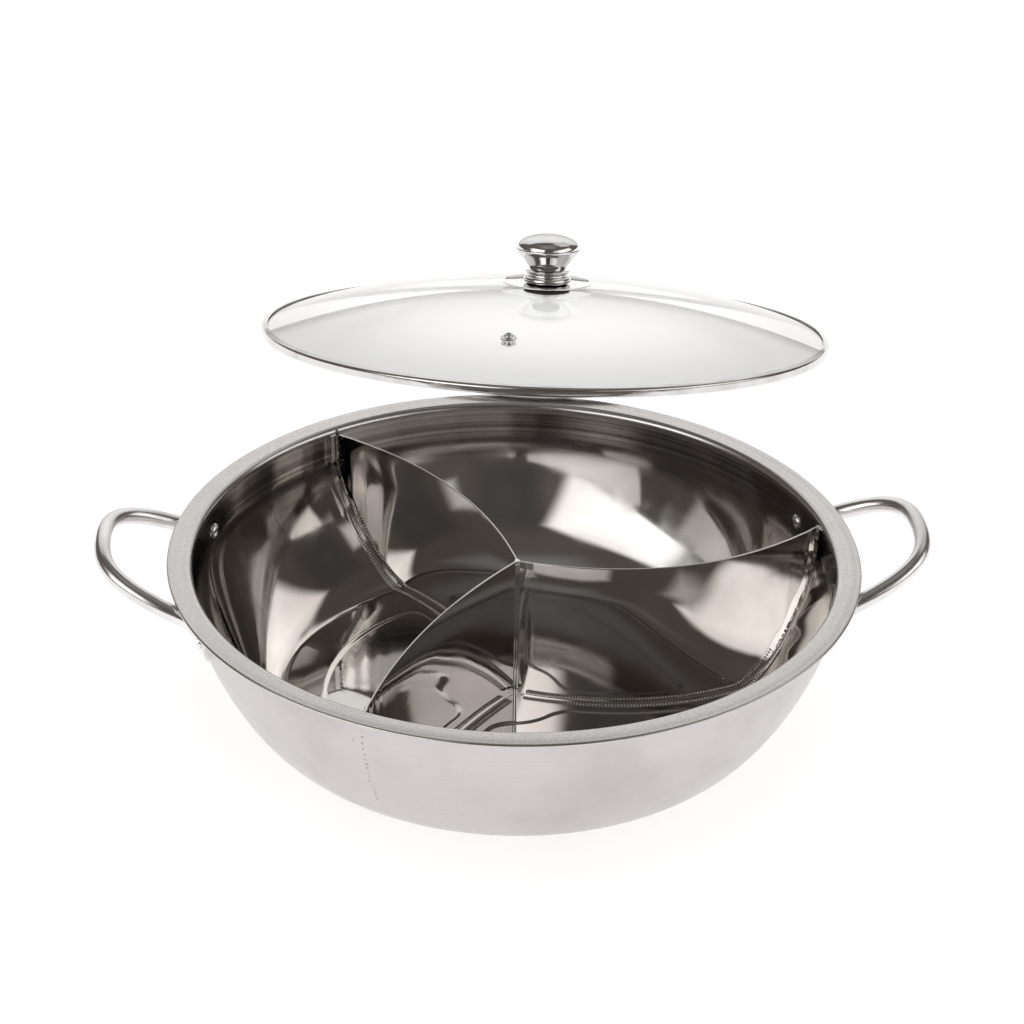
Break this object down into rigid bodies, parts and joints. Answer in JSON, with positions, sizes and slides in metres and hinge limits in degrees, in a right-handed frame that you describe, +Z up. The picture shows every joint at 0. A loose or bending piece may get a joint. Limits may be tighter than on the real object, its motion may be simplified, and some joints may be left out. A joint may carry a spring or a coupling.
{
  "type": "divided hot pot",
  "caption": "Low round steel hot pot, its inside divided by welded curved partitions, with rod handles and a domed glass lid that leans on the rim.",
  "frame": {"origin": "on the table, under the middle of the pot's flat base", "axes": "+Z up; X through the two rod handles; +Y towards the lid, which leans against the rim behind the pot"},
  "size_m": [0.4389, 0.7009, 0.1111],
  "materials": {
    "satin_steel": "satin outside, polished inside",
    "polished_steel": "mirror polished sheet with welded edges",
    "rod_steel": "polished rod",
    "lid_steel": "bright rolled edge",
    "chrome": "mirror",
    "clear_glass": "clear, polished",
    "dark_rubber": "matt"
  },
  "bodies": {
    "root": {"pot_bowl": "satin_steel", "partition_rear": "polished_steel", "partition_front": "polished_steel", "partition_right": "polished_steel", "partition_seam": "polished_steel", "handle_left": "rod_steel", "handle_right": "rod_steel", "rivet_1": "rod_steel", "rivet_2": "rod_steel", "rivet_3": "rod_steel", "rivet_4": "rod_steel", "lid_glass": "clear_glass", "lid_band": "lid_steel", "lid_vent": "lid_steel", "knob_disc": "chrome", "knob_collar": "chrome", "knob_cap": "chrome", "knob_washer": "dark_rubber", "knob_screw": "lid_steel"}
  },
  "joints": []
}
